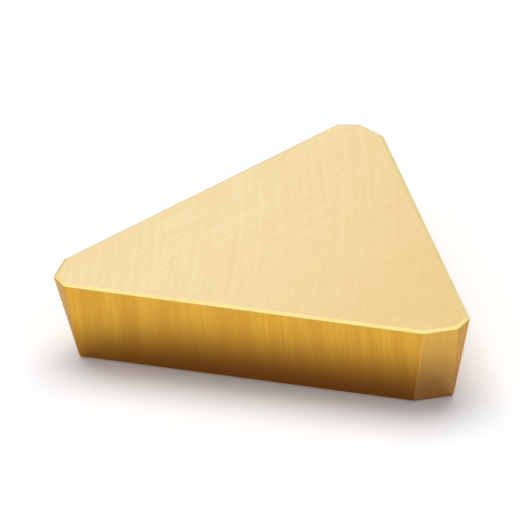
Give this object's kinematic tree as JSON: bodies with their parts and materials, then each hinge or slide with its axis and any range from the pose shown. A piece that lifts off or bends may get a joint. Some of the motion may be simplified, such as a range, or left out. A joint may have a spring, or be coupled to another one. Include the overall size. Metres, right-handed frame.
{
  "type": "carbide insert",
  "caption": "Triangular milling insert in gold-coated carbide: flat rake face, ground sloping flanks, a short wiping land and a chamfer at each corner.",
  "frame": {"origin": "centre of the seat face, below the centre of the circle that the cutting edges touch", "axes": "+Z from the seat face to the rake face; +X along the front cutting edge, whose flank faces -Y"},
  "size_m": [0.0147, 0.0132, 0.0032],
  "materials": {
    "coated_carbide": "satin gold titanium nitride coating over fine-ground carbide"
  },
  "bodies": {
    "root": {"insert": "coated_carbide"}
  },
  "joints": []
}
